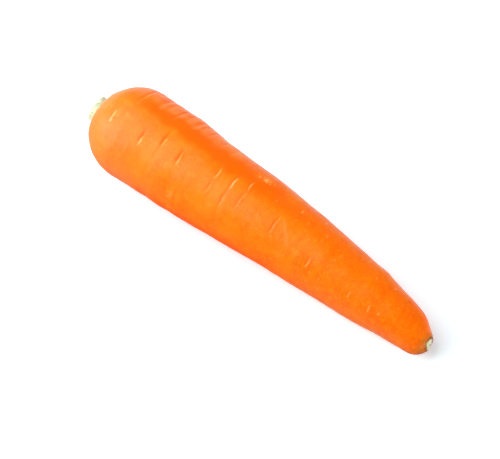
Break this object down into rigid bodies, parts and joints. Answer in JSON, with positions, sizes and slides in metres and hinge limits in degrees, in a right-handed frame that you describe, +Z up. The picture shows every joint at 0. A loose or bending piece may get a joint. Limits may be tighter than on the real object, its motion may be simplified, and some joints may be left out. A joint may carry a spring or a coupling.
{
  "type": "carrot",
  "caption": "Trimmed orange carrot lying on its side: a tapering root with a rounded crown, a blunt tip and cut leaf stalks in a shallow recess.",
  "frame": {"origin": "on the surface it lies on, under the middle of its bounding box", "axes": "+X from the crown to the tip, along its longest extent; +Z up"},
  "size_m": [0.1928, 0.0452, 0.0444],
  "materials": {
    "carrot_skin": "satin, washed skin with pale scars",
    "leaf_stalk": "matt, pale green and cream cut stalks",
    "crown_stem": "matt, dull green-brown"
  },
  "bodies": {
    "root": {"root": "carrot_skin", "crown_stem": "crown_stem", "outer_leaf_stalk_1": "leaf_stalk", "outer_leaf_stalk_2": "leaf_stalk", "outer_leaf_stalk_3": "leaf_stalk", "outer_leaf_stalk_4": "leaf_stalk", "outer_leaf_stalk_5": "leaf_stalk", "outer_leaf_stalk_6": "leaf_stalk", "middle_leaf_stalk_1": "leaf_stalk", "middle_leaf_stalk_2": "leaf_stalk", "middle_leaf_stalk_3": "leaf_stalk", "middle_leaf_stalk_4": "leaf_stalk", "middle_leaf_stalk_5": "leaf_stalk", "inner_leaf_stalk_1": "leaf_stalk", "inner_leaf_stalk_2": "leaf_stalk", "inner_leaf_stalk_3": "leaf_stalk"}
  },
  "joints": []
}
